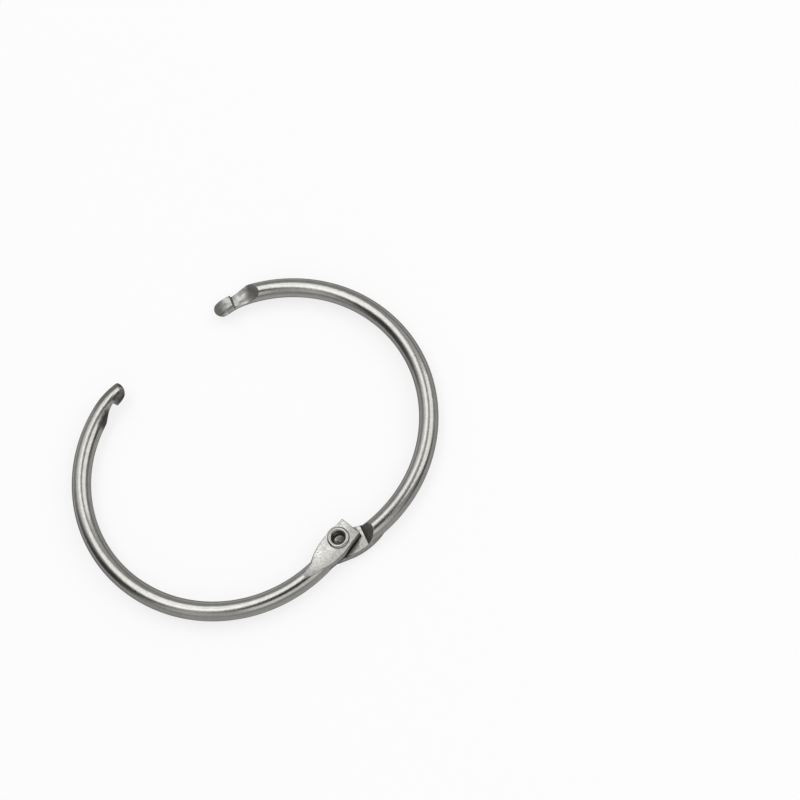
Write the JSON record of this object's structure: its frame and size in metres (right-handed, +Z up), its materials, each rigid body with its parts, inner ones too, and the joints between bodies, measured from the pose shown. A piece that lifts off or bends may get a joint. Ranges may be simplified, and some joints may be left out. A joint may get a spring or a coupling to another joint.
{
  "type": "binder ring",
  "caption": "Loose-leaf snap ring of round wire: bent halves hinged on a flat riveted lap, with stepped hooks that catch in each other at the mouth.",
  "frame": {"origin": "on the surface that the ring lies on, at the middle of the outline of the open ring", "axes": "+Z up along the rivet's axis, away from its domed head; +X from the half whose tongue is on top to the half whose tongue is below; +Y from the hinge to the mouth"},
  "size_m": [0.056, 0.0445, 0.0035],
  "materials": {
    "ring_wire": "nickel plated, semi-bright, drawn wire with coined flats",
    "rivet_metal": "nickel plated, semi-bright"
  },
  "bodies": {
    "fixed_half": {"lower_half": "ring_wire", "rivet": "rivet_metal"},
    "swinging_half": {"upper_half": "ring_wire"}
  },
  "joints": [
    {"name": "rivet_hinge", "type": "hinge", "parent": "fixed_half", "child": "swinging_half", "pos_m": [-0.0002, -0.01868, 0.002], "axis": [0, 0, 1], "range_deg": [-33, 80]}
  ]
}
